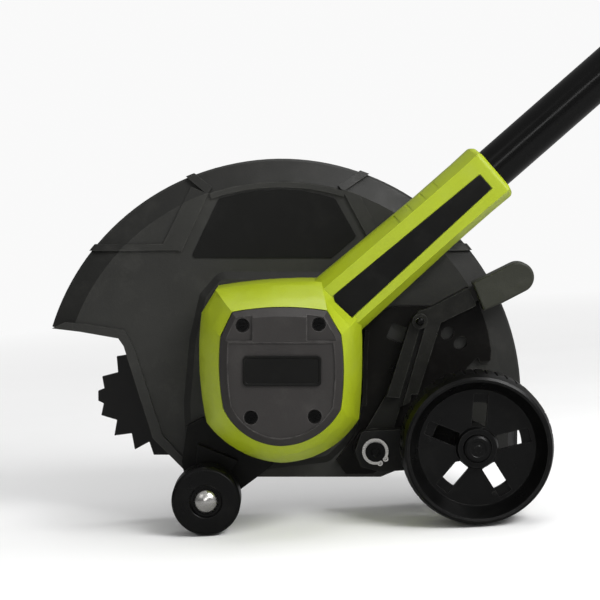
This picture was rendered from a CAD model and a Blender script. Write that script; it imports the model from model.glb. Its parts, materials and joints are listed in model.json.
"""Looks, stage, lights and camera for a wheeled lawn edger on a long tube.

World units are metres, +Z up. The cutting head stands on the ground near the
origin, the blade turns about an axis along Y, and the tube rises towards +X.
The camera looks at the head from the -Y side.
"""
import bpy
import bmesh
import json
import math
from mathutils import Vector, Matrix


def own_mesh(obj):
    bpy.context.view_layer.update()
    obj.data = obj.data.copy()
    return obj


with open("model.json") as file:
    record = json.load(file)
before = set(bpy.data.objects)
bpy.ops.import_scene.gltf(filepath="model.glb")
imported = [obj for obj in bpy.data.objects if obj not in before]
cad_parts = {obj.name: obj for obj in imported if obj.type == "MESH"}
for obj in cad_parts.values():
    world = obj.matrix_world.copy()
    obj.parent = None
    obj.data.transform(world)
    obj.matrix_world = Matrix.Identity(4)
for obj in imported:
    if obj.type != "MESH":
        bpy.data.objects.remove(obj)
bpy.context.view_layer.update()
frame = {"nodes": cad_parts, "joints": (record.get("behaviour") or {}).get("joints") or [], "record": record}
PARTS = frame["nodes"]
JOINTS = {joint["name"]: joint for joint in frame["joints"]}
SLOT_OF = {part["node"]: part["material_slot"] for part in frame["record"]["subparts"]}
MM = 0.001

# ------------------------------------------------------------------ head frame
# Millimetres about the blade axis: y along world Y, z from the blade axis to the
# motor axis, x square to both. The head leans a little on the ground.
HEAD_ORIGIN = Vector(JOINTS["blade_spin"]["pos_m"])
HEAD_Z = (Vector(JOINTS["motor_spin"]["pos_m"]) - HEAD_ORIGIN).normalized()
HEAD_Y = Vector((0.0, 1.0, 0.0))
HEAD_X = HEAD_Y.cross(HEAD_Z).normalized()


def head_point(x, y, z):
    """World place of a point given in the head frame."""
    return HEAD_ORIGIN + (HEAD_X * x + HEAD_Y * y + HEAD_Z * z) * MM


# --------------------------------------------------------------- shader helpers
BLACK = (0.0, 0.0, 0.0, 1.0)
WHITE = (1.0, 1.0, 1.0, 1.0)


def srgb(red, green, blue):
    """Linear colour from 8-bit sRGB values."""
    linear = []
    for value in (red, green, blue):
        value = value / 255.0
        linear.append(value / 12.92 if value <= 0.04045 else ((value + 0.055) / 1.055) ** 2.4)
    return (*linear, 1.0)


def scaled(colour, factor):
    """Colour made lighter or darker, held to 1."""
    return (*(min(1, channel * factor) for channel in colour[:3]), 1.0)


class Shader:
    """Short calls that build the node tree of a material or a world."""

    def __init__(self, owner):
        self.owner = owner
        owner.use_nodes = True
        self.tree = owner.node_tree
        self.coordinates = self.node("ShaderNodeTexCoord")

    def feed(self, node, inputs):
        """Link each input that is given a socket, and set the others."""
        for key, value in inputs.items():
            if isinstance(value, bpy.types.NodeSocket):
                self.tree.links.new(value, node.inputs[key])
            else:
                node.inputs[key].default_value = value

    def node(self, kind, inputs=None, **properties):
        node = self.tree.nodes.new(kind)
        for key, value in properties.items():
            setattr(node, key, value)
        self.feed(node, inputs or {})
        return node

    def noise(self, scale, detail=3.0, roughness=0.55, stretch=None):
        vector = self.coordinates.outputs["Object"]
        if stretch:
            mapping = self.node("ShaderNodeMapping", {"Scale": stretch, "Vector": vector})
            vector = mapping.outputs["Vector"]
        inputs = {"Scale": scale, "Detail": detail, "Roughness": roughness, "Vector": vector}
        return self.node("ShaderNodeTexNoise", inputs).outputs["Fac"]

    def streaks(self, stretch):
        """Noise drawn out along the axis with the smallest stretch."""
        return self.noise(scale=1.0, roughness=0.6, stretch=stretch)

    def remap(self, value, to, band=(0.35, 0.65)):
        """Carry the band of input values over to the range `to`."""
        inputs = {"From Min": band[0], "From Max": band[1],
                  "To Min": to[0], "To Max": to[1], "Value": value}
        return self.node("ShaderNodeMapRange", inputs).outputs["Result"]

    def patches(self, scale, detail, roughness=0.55, to=(0.0, 1.0), band=(0.35, 0.65)):
        return self.remap(self.noise(scale, detail, roughness), to, band)

    def math(self, operation, first, second):
        return self.node("ShaderNodeMath", {0: first, 1: second}, operation=operation).outputs[0]

    def mix(self, factor, first, second):
        """Mix two colours; 6, 7 and output 2 are the node's colour sockets."""
        inputs = {"Factor": factor, 6: first, 7: second}
        return self.node("ShaderNodeMix", inputs, data_type="RGBA").outputs[2]

    def vector_math(self, operation, first, second=None):
        inputs = {0: first} if second is None else {0: first, 1: second}
        return self.node("ShaderNodeVectorMath", inputs, operation=operation)

    def worn_edges(self, amount, radius, scale, band):
        """`amount` on edges, broken up by noise, and 0 on flat faces."""
        broken = self.patches(scale=scale, detail=4.0, roughness=0.7, band=band)
        bevel = self.node("ShaderNodeBevel", {"Radius": radius}, samples=4)
        geometry = self.node("ShaderNodeNewGeometry")
        match = self.vector_math(
            "DOT_PRODUCT", bevel.outputs["Normal"], geometry.outputs["Normal"])
        edge = self.remap(match.outputs["Value"], to=(1.0, 0.0), band=(0.80, 0.985))
        return self.math("MULTIPLY", self.math("MULTIPLY", edge, broken), amount)

    def bump(self, height, strength, distance, over=None):
        """Bumped normal; `over` is a bumped normal that this one adds to."""
        inputs = {"Strength": strength, "Distance": distance, "Height": height}
        if over is not None:
            inputs["Normal"] = over
        return self.node("ShaderNodeBump", inputs).outputs["Normal"]

    def surface(self, inputs):
        """Feed the principled shader and return the finished material."""
        self.feed(self.tree.nodes["Principled BSDF"], inputs)
        return self.owner


# ------------------------------------------------------------- material families
def plastic(name, colour, worn, rough, variation, grain, grain_depth, wear, dust, specular,
            tilt_dark=0.0):
    """Moulded plastic: mottled, speckled, dusty, with worn edges and a fine grain."""
    m = Shader(bpy.data.materials.new(name))
    base = m.mix(m.patches(scale=18.0, detail=4.0),
                 scaled(colour, 1 - variation), scaled(colour, 1 + variation))
    speck = m.patches(scale=900.0, detail=2.0, band=(0.30, 0.70))
    base = m.mix(m.math("MULTIPLY", speck, 0.35), base, scaled(colour, 1.22))
    if dust > 0:
        film = m.patches(scale=45.0, detail=6.0, roughness=0.7, to=(0.0, dust), band=(0.52, 0.80))
        base = m.mix(film, base, (0.32, 0.31, 0.28, 1.0))
    if wear > 0:
        edges = m.worn_edges(amount=wear, radius=0.0009, scale=160.0, band=(0.38, 0.62))
        base = m.mix(edges, base, worn)
    if tilt_dark > 0:
        # faces turned away from the Y axis are darker than those square to it
        geometry = m.node("ShaderNodeNewGeometry")
        facing = m.vector_math("DOT_PRODUCT", geometry.outputs["Normal"], (0.0, -1.0, 0.0))
        facing = m.math("ABSOLUTE", facing.outputs["Value"], 0.0)
        base = m.mix(m.remap(facing, to=(tilt_dark, 0.0), band=(0.90, 0.985)), base, BLACK)
    scratches = m.remap(m.streaks((60.0, 700.0, 900.0)), to=(0.0, 0.06), band=(0.60, 0.75))
    sheen = m.patches(scale=70.0, detail=4.0, to=(rough - 0.05, rough + 0.06))
    fine = m.bump(m.noise(scale=grain, detail=2.0), strength=grain_depth, distance=0.00010)
    return m.surface({
        "Base Color": base,
        "Roughness": m.math("ADD", sheen, scratches),
        "Specular IOR Level": specular,
        "Coat Roughness": 0.25,
        "Normal": m.bump(m.noise(scale=35.0, detail=2.0), strength=0.06, distance=0.0008,
                         over=fine),
    })


def metal(name, colour, rough, brush=(20.0, 1500.0, 1500.0)):
    """Brushed metal with faint stains; `brush` is the stretch of its streaks."""
    m = Shader(bpy.data.materials.new(name))
    base = m.mix(m.patches(scale=40.0, detail=5.0, roughness=0.65),
                 scaled(colour, 0.88), scaled(colour, 1.12))
    stain = m.patches(scale=230.0, detail=5.0, roughness=0.7, to=(0.0, 0.2), band=(0.55, 0.85))
    base = m.mix(stain, base, scaled(colour, 0.45))
    lines = m.streaks(brush)
    sheen = m.remap(lines, to=(rough - 0.07, rough + 0.09), band=(0.3, 0.7))
    brushed = m.bump(lines, strength=0.12, distance=0.00006)
    return m.surface({
        "Base Color": base,
        "Metallic": 1.0,
        "Roughness": m.math("ADD", sheen, 0.0),
        "Normal": m.bump(m.noise(scale=60.0), strength=0.05, distance=0.0004, over=brushed),
    })


def enamel(name, colour, rough, specular, peel, wear, bare):
    """Glossy paint; `peel` is its ripple, `bare` the metal under its worn edges."""
    m = Shader(bpy.data.materials.new(name))
    base = m.mix(m.patches(scale=14.0, detail=3.0), scaled(colour, 0.85), scaled(colour, 1.2))
    speck = m.patches(scale=800.0, detail=2.0, to=(0.0, 0.3), band=(0.4, 0.8))
    base = m.mix(speck, base, scaled(colour, 1.6))
    base = m.mix(m.worn_edges(amount=wear, radius=0.0006, scale=220.0, band=(0.45, 0.60)),
                 base, bare)
    scratches = m.remap(m.streaks((25.0, 900.0, 900.0)), to=(0.0, 0.10), band=(0.58, 0.75))
    sheen = m.patches(scale=55.0, detail=4.0, to=(rough - 0.03, rough + 0.05))
    ripple = m.bump(m.noise(scale=420.0, detail=2.0), strength=peel, distance=0.00008)
    return m.surface({
        "Base Color": base,
        "Roughness": m.math("ADD", sheen, scratches),
        "Specular IOR Level": specular,
        "Coat Weight": 0.10,
        "Coat Roughness": 0.18,
        "Normal": m.bump(m.noise(scale=2200.0, detail=2.0), strength=peel, distance=0.00003,
                         over=ripple),
    })


def rubber(name, colour):
    """Matt rubber with a thin film of dust."""
    m = Shader(bpy.data.materials.new(name))
    base = m.mix(m.patches(scale=60.0, detail=5.0, roughness=0.7),
                 scaled(colour, 0.85), scaled(colour, 1.35))
    film = m.patches(scale=25.0, detail=4.0, roughness=0.7, to=(0.0, 0.10), band=(0.5, 0.8))
    base = m.mix(film, base, (0.22, 0.21, 0.19, 1.0))
    return m.surface({
        "Base Color": base,
        "Roughness": m.patches(scale=120.0, detail=4.0, to=(0.70, 0.86)),
        "Sheen Weight": 0.08,
        "Normal": m.bump(m.noise(scale=1300.0), strength=0.35, distance=0.00012),
    })


# --------------------------------------------------------------------- materials
GREEN = srgb(143, 157, 24)

# slot: material name, colour, worn edge colour,
#     roughness, colour variation, grain scale, grain depth, edge wear, dust, specular
#     (, darkening of tilted faces)
SLOT_PLASTICS = {
    "housing_green": ("moulded_green", GREEN, scaled(GREEN, 1.6),
                      0.38, 0.07, 1500, 0.20, 0.35, 0.05, 0.34),
    "guard_grey": ("guard_grey", srgb(40, 40, 38), srgb(84, 84, 80),
                   0.46, 0.16, 1100, 0.60, 0.45, 0.05, 0.22, 0.38),
    "cover_grey": ("cover_grey", srgb(44, 42, 41), srgb(104, 102, 100),
                   0.44, 0.10, 1300, 0.50, 0.60, 0.04, 0.22),
    "black_plastic": ("black_moulding", srgb(11, 11, 10), srgb(66, 66, 64),
                      0.38, 0.16, 1500, 0.38, 0.40, 0.02, 0.13),
    "lever_grey": ("lever_grey", srgb(40, 41, 34), srgb(86, 86, 78),
                   0.46, 0.14, 1000, 0.55, 0.35, 0.05, 0.24),
    "wheel_black": ("wheel_black", srgb(7, 7, 7), srgb(66, 66, 64),
                    0.32, 0.16, 1500, 0.30, 0.45, 0.015, 0.15),
    "label_black": ("label_film", srgb(14, 14, 13), srgb(60, 60, 58),
                    0.36, 0.08, 2600, 0.10, 0.25, 0.015, 0.13),
    "cell_blue": ("cell_sleeve", srgb(60, 96, 140), None,
                  0.28, 0.05, 2000, 0.05, 0.0, 0.0, 0.5),
}
# Parts whose finish differs from the rest of their slot, in the same columns.
PART_PLASTICS = {
    "depth_lever": ("lever_moulding", srgb(20, 20, 18), srgb(84, 84, 80),
                    0.40, 0.14, 1300, 0.45, 0.60, 0.03, 0.14),
    "wheel_arm": ("arm_moulding", srgb(15, 15, 14), srgb(76, 76, 72),
                  0.40, 0.14, 1300, 0.45, 0.50, 0.03, 0.15),
    "depth_quadrant": ("quadrant_moulding", srgb(8, 7, 6), srgb(64, 63, 60),
                       0.42, 0.14, 1500, 0.40, 0.60, 0.02, 0.11),
}

slot_materials = {slot: plastic(*row) for slot, row in SLOT_PLASTICS.items()}
slot_materials.update({
    "tube_black": enamel("tube_enamel", srgb(5, 5, 5), rough=0.18, specular=0.14,
                         peel=0.05, wear=0.25, bare=(0.30, 0.29, 0.28, 1.0)),
    "blade_black": enamel("blade_enamel", srgb(13, 13, 12), rough=0.36, specular=0.18,
                          peel=0.10, wear=0.9, bare=(0.34, 0.33, 0.32, 1.0)),
    "zinc_steel": metal("zinc_plate", (0.55, 0.54, 0.52, 1.0), rough=0.24),
    "dark_steel": metal("black_oxide", (0.012, 0.012, 0.012, 1.0), rough=0.28),
    "machined_steel": metal("ground_steel", (0.46, 0.46, 0.46, 1.0), rough=0.26),
    "aluminium": metal("cast_aluminium", (0.60, 0.60, 0.60, 1.0), rough=0.40,
                       brush=(300.0, 300.0, 300.0)),
    "rubber_black": rubber("soft_rubber", srgb(16, 16, 16)),
    "copper_core": metal("windings", (0.38, 0.20, 0.10, 1.0), rough=0.35,
                         brush=(900.0, 40.0, 900.0)),
})
part_materials = {part: plastic(*row) for part, row in PART_PLASTICS.items()}

# ------------------------------------------------------- part edges and shading
# Angles in degrees above which an edge is shaded sharp.
SHARP_ANGLE = 26
PART_SHARP_ANGLES = {
    "blade_guard": 11, "front_housing": 12, "rear_housing": 14,
    "motor_cover": 16, "roller_bracket": 16, "depth_quadrant": 18,
}
# Parts whose edges are marked sharp again after flattening, in degrees.
CREASE_ANGLES = {"blade_guard": 14.0}
FLAT_ANGLE = 0.6        # faces closer than this are merged, degrees
BEVEL_ANGLE = 32        # edges sharper than this are rounded, degrees
WELD_DISTANCE = 2e-6    # metres

# part: (width of the rounded edge in mm, segments)
ROUNDED_EDGES = {
    "front_housing": (1.1, 3), "rear_housing": (1.0, 2), "blade_guard": (0.7, 2),
    "motor_cover": (0.7, 3), "badge_plate": (0.35, 2), "rear_wheel": (0.6, 2),
    "front_roller": (0.6, 3), "lever_grip": (0.5, 2), "depth_lever": (0.6, 2),
    "wheel_arm": (0.7, 2), "depth_quadrant": (0.5, 2), "roller_bracket": (0.7, 2),
    "handle_left": (0.6, 2), "handle_right": (0.6, 2), "battery_front": (0.7, 2),
    "battery_back": (0.7, 2), "edger_blade": (0.25, 1), "label_plate": (0.2, 1),
    "inlay_strip": (0.3, 2), "coupler_front": (0.6, 2), "coupler_rear": (0.6, 2),
    "aux_clamp_top": (0.7, 2), "aux_clamp_base": (0.7, 2), "trigger": (0.5, 2),
    "coupler_knob": (0.7, 2), "aux_knob": (0.7, 2), "debris_flap": (0.4, 2),
    "hub_cap": (0.3, 2), "lock_off": (0.4, 2), "battery_latch": (0.6, 2),
    "aux_handle": (0.4, 2), "aux_grip": (0.4, 2), "lower_tube": (0.3, 2),
    "upper_tube": (0.3, 2), "pivot_shaft": (0.3, 2), "roller_axle": (0.2, 1),
    "blade_nut": (0.3, 2), "outer_flange": (0.3, 2), "blade_spindle": (0.2, 1),
    "wheel_axle": (0.3, 1), "terminal_block": (0.3, 1), "retaining_ring": (0.15, 1),
    "case_screws": (0.2, 1), "machine_screws": (0.2, 1), "detent_pin": (0.15, 1),
}


def crease_group():
    """Node group that shades edges above an angle sharp, and its angle input's key."""
    group = bpy.data.node_groups.new("crease_by_angle", "GeometryNodeTree")
    sockets = group.interface
    sockets.new_socket("Geometry", in_out="INPUT", socket_type="NodeSocketGeometry")
    angle = sockets.new_socket("Angle", in_out="INPUT", socket_type="NodeSocketFloat")
    sockets.new_socket("Geometry", in_out="OUTPUT", socket_type="NodeSocketGeometry")
    entry = group.nodes.new("NodeGroupInput")
    result = group.nodes.new("NodeGroupOutput")
    edge_angle = group.nodes.new("GeometryNodeInputMeshEdgeAngle")
    compare = group.nodes.new("FunctionNodeCompare")
    compare.data_type = "FLOAT"
    compare.operation = "GREATER_THAN"
    shade = group.nodes.new("GeometryNodeSetShadeSmooth")
    shade.domain = "EDGE"
    shade.inputs["Shade Smooth"].default_value = False
    link = group.links.new
    link(edge_angle.outputs[0], compare.inputs[0])
    link(entry.outputs[1], compare.inputs[1])
    link(entry.outputs[0], shade.inputs["Geometry"])
    link(compare.outputs[0], shade.inputs["Selection"])
    link(shade.outputs["Geometry"], result.inputs[0])
    return group, angle.identifier


CREASE_GROUP, CREASE_KEY = crease_group()


def add_modifier(part, name, kind, **settings):
    modifier = part.modifiers.new(name, kind)
    for key, value in settings.items():
        setattr(modifier, key, value)
    return modifier


def dress(name, part):
    """Give a part its material, its shading and its rounded edges."""
    mesh = part.data
    mesh.materials.clear()
    mesh.materials.append(part_materials.get(name) or slot_materials[SLOT_OF[name]])
    for face in mesh.polygons:
        face.use_smooth = True
        face.material_index = 0
    mesh.set_sharp_from_angle(angle=math.radians(PART_SHARP_ANGLES.get(name, SHARP_ANGLE)))
    add_modifier(part, "weld", "WELD", merge_threshold=WELD_DISTANCE)
    if name not in ROUNDED_EDGES:
        return
    add_modifier(part, "flat", "DECIMATE", decimate_type="DISSOLVE",
                 angle_limit=math.radians(FLAT_ANGLE))
    if name in CREASE_ANGLES:
        crease = add_modifier(part, "crease", "NODES", node_group=CREASE_GROUP)
        crease[CREASE_KEY] = math.radians(CREASE_ANGLES[name])
    width, segments = ROUNDED_EDGES[name]
    add_modifier(part, "edge", "BEVEL", width=width * MM, segments=segments,
                 limit_method="ANGLE", angle_limit=math.radians(BEVEL_ANGLE),
                 use_clamp_overlap=True, harden_normals=False, miter_outer="MITER_ARC")
    add_modifier(part, "normals", "WEIGHTED_NORMAL", keep_sharp=True, weight=60)


for name, part in PARTS.items():
    dress(name, part)

# ------------------------------------------------------------------ coil springs
# Each shortens as its joint travels, held at its far end: part, joint, length kept.
SPRINGS = (
    ("detent_spring", "detent_pull", 0.28),
    ("trigger_spring", "trigger_pull", 0.30),
)


def far_end(part, direction):
    """The part's furthest vertex along a direction, in world space."""
    points = (part.matrix_world @ vertex.co for vertex in part.data.vertices)
    return max(points, key=lambda point: point.dot(direction))


for name, joint, keep in SPRINGS:
    travel = Vector(JOINTS[joint]["axis"])
    anchor = far_end(PARTS[name], travel)
    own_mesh(PARTS[name])

# ------------------------------------------------------------------------- floor
FLOOR_RADIUS = 9.0
FLOOR_SIDES = 96
FLOOR_Z = -0.0005
BACKDROP = 0.95    # brightness of the background and of the far floor

scene = bpy.context.scene
scene.view_settings.view_transform = "Standard"
scene.view_settings.look = "None"
scene.view_settings.exposure = 0.0


def floor_material():
    """Pale studio floor that fades into the background far from the object."""
    m = Shader(bpy.data.materials.new("pale_floor"))
    base = m.mix(m.patches(scale=2.5, detail=4.0),
                 (0.86, 0.86, 0.86, 1.0), (0.90, 0.90, 0.90, 1.0))
    # darker in the object's own reflections, so that dark gloss stays dark
    glossy = m.node("ShaderNodeLightPath").outputs["Is Glossy Ray"]
    base = m.mix(m.math("MULTIPLY", glossy, 0.6), base, BLACK)
    m.surface({
        "Base Color": base,
        "Roughness": m.patches(scale=30.0, detail=3.0, to=(0.82, 0.95)),
        "Specular IOR Level": 0.15,
        "Normal": m.bump(m.noise(scale=260.0), strength=0.05, distance=0.0002),
    })
    geometry = m.node("ShaderNodeNewGeometry")
    centred = m.vector_math("SUBTRACT", geometry.outputs["Position"], (-0.25, 0.0, 0.0))
    distance = m.vector_math("LENGTH", centred.outputs[0]).outputs["Value"]
    far = m.remap(distance, to=(0.0, 1.0), band=(0.45, 1.5))
    glossy = m.node("ShaderNodeLightPath").outputs["Is Glossy Ray"]
    glow = m.node("ShaderNodeEmission", {
        "Color": WHITE,
        "Strength": m.remap(glossy, to=(BACKDROP, 0.30), band=(0.0, 1.0)),
    })
    principled = m.tree.nodes["Principled BSDF"]
    blend = m.node("ShaderNodeMixShader",
                   {0: far, 1: principled.outputs[0], 2: glow.outputs[0]})
    m.feed(m.tree.nodes["Material Output"], {"Surface": blend.outputs[0]})
    return m.owner


def build_floor():
    shape = bmesh.new()
    rim = []
    for k in range(FLOOR_SIDES):
        angle = 2 * math.pi * k / FLOOR_SIDES
        x = FLOOR_RADIUS * math.cos(angle)
        y = FLOOR_RADIUS * math.sin(angle)
        rim.append(shape.verts.new((x, y, FLOOR_Z)))
    shape.faces.new(rim)
    mesh = bpy.data.meshes.new("floor")
    shape.to_mesh(mesh)
    shape.free()
    floor = bpy.data.objects.new("floor", mesh)
    scene.collection.objects.link(floor)
    mesh.materials.append(floor_material())


def build_world():
    """Soft light, strongest from above; the camera sees an even backdrop."""
    world = Shader(bpy.data.worlds.new("studio"))
    scene.world = world.owner
    brightest = Vector((0.35, -0.15, 0.85)).normalized()
    height = world.vector_math("DOT_PRODUCT", world.coordinates.outputs["Generated"], brightest)
    sky = world.remap(height.outputs["Value"], to=(0.06, 0.55), band=(-0.4, 1.0))
    camera_ray = world.node("ShaderNodeLightPath").outputs["Is Camera Ray"]
    strength = world.node("ShaderNodeMix", {"Factor": camera_ray, "A": sky, "B": BACKDROP},
                          data_type="FLOAT")
    world.feed(world.tree.nodes["Background"],
               {"Strength": strength.outputs["Result"], "Color": WHITE})


build_floor()
build_world()

# ------------------------------------------------------------------------ lights
HEAD_CENTRE = head_point(20, 0, 60)
TUBE_MIDDLE = head_point(420, -26, 385)
TUBE_FAR = head_point(900, -20, 760)
STRIP_SLOPE = math.radians(38.0)    # slope of the strip light's long side


def area_light(name, target, offset, size, power, size_y=None, along=None):
    """Area light at target + offset, facing the target.

    With `along`, its long side lies as near that direction as the aim allows.
    """
    light = bpy.data.lights.new(name, "AREA")
    light.energy = power
    light.size = size
    if size_y:
        light.shape = "RECTANGLE"
        light.size_y = size_y
    lamp = bpy.data.objects.new(name, light)
    scene.collection.objects.link(lamp)
    lamp.location = target + Vector(offset)
    lamp.visible_camera = False
    lamp.rotation_mode = "QUATERNION"
    if along is None:
        turn = (target - lamp.location).to_track_quat("-Z", "Y")
    else:
        back = (lamp.location - target).normalized()
        side = (along - back * along.dot(back)).normalized()
        turn = Matrix((side, back.cross(side), back)).transposed().to_quaternion()
    lamp.rotation_quaternion = turn


area_light("key", HEAD_CENTRE, offset=(0.68, -0.74, 0.72), size=0.50, power=10.5)
area_light("fill", HEAD_CENTRE, offset=(-1.3, -1.5, 1.3), size=1.0, power=3.0)
area_light("line", TUBE_MIDDLE, offset=(-0.16, -1.45, 0.22), size=1.6, power=3.2, size_y=0.13,
           along=Vector((math.cos(STRIP_SLOPE), 0.0, math.sin(STRIP_SLOPE))))
area_light("top", HEAD_CENTRE, offset=(0.5, 0.3, 2.1), size=1.4, power=22.0)
area_light("far", TUBE_FAR, offset=(0.2, -1.4, 0.9), size=0.9, power=9.0)

# ------------------------------------------------------------------------ camera
CAMERA_PLACE = head_point(11.59, -1091.09, 152.77)
CAMERA_PITCH = math.radians(4.755)    # downwards, from the head's y axis
SENSOR_WIDTH = 36.0                   # mm
FOCAL_LENGTH = 108.198                # mm

camera_data = bpy.data.cameras.new("camera")
camera_data.sensor_width = SENSOR_WIDTH
camera_data.lens = FOCAL_LENGTH
camera_data.clip_start = 0.05
camera_data.clip_end = 60.0
camera = bpy.data.objects.new("camera", camera_data)
scene.collection.objects.link(camera)
camera_up = HEAD_Y * math.sin(CAMERA_PITCH) + HEAD_Z * math.cos(CAMERA_PITCH)
camera_back = -(HEAD_Y * math.cos(CAMERA_PITCH) - HEAD_Z * math.sin(CAMERA_PITCH))
pose = Matrix((HEAD_X, camera_up, camera_back)).transposed().to_4x4()
pose.translation = CAMERA_PLACE
camera.matrix_world = pose
scene.camera = camera

bpy.context.view_layer.update()
